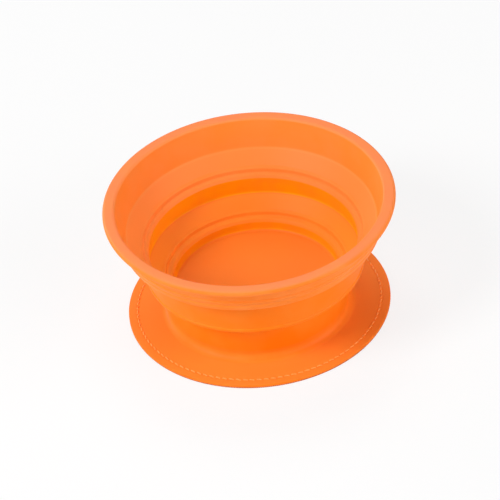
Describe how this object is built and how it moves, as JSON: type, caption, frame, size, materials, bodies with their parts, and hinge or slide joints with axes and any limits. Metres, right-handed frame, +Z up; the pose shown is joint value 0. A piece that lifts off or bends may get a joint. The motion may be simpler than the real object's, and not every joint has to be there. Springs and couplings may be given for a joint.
{
  "type": "collapsible bowl",
  "caption": "Round collapsible bowl of stiff rings joined by thin folds that turn inside out, with a lipped rim, a foot and a wide flat sewn base.",
  "frame": {"origin": "centre of the base's underside, on the surface that the bowl stands on", "axes": "+Z up along the bowl's axis; the bowl is round, so +X and +Y are free"},
  "size_m": [0.13, 0.13, 0.0592],
  "materials": {
    "silicone": "matte",
    "silicone_thin": "matte, thin",
    "board": "matte",
    "backing_fabric": "plain weave",
    "thread": "twisted thread"
  },
  "bodies": {
    "base": {"foot_wall": "silicone", "bowl_floor": "silicone", "foot_flare": "silicone", "base_flange": "silicone", "base_board": "board", "base_backing": "backing_fabric", "top_stitches": "thread", "under_stitches": "thread", "lower_fold": "silicone_thin"},
    "middle": {"middle_wall": "silicone", "upper_fold": "silicone_thin"},
    "rim": {"rim_lip": "silicone", "upper_wall": "silicone"}
  },
  "joints": [
    {"name": "lower_fold_slide", "type": "slide", "parent": "base", "child": "middle", "axis": [0, 0, -1], "range_m": [0, 0.0144], "deforming": ["lower_fold"]},
    {"name": "upper_fold_slide", "type": "slide", "parent": "middle", "child": "rim", "axis": [0, 0, -1], "range_m": [0, 0.0168], "deforming": ["upper_fold"]}
  ]
}
